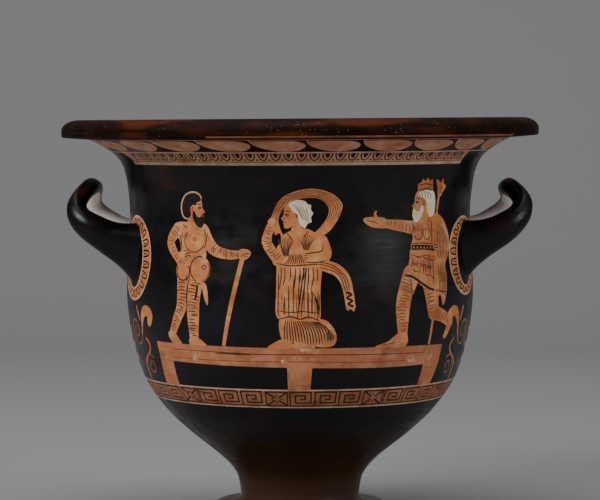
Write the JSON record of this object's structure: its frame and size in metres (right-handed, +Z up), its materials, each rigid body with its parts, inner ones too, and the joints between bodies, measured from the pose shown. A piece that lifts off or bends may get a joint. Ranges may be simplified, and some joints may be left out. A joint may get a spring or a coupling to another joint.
{
  "type": "bell krater",
  "caption": "Wheel-thrown clay mixing bowl with a flaring bell-shaped wall, overhanging lip, hollow stepped foot and an upturned loop handle at each side.",
  "frame": {"origin": "on the ground under the centre of the foot's resting ring", "axes": "+Z up along the bowl's axis, the painted front facing -Y, the two handles on +X and -X"},
  "size_m": [0.338, 0.338, 0.2902],
  "materials": {
    "painted_clay": "fired clay under a thin black gloss slip, semi-gloss, with figures and bands left in the orange clay"
  },
  "bodies": {
    "root": {"krater": "painted_clay"}
  },
  "joints": []
}
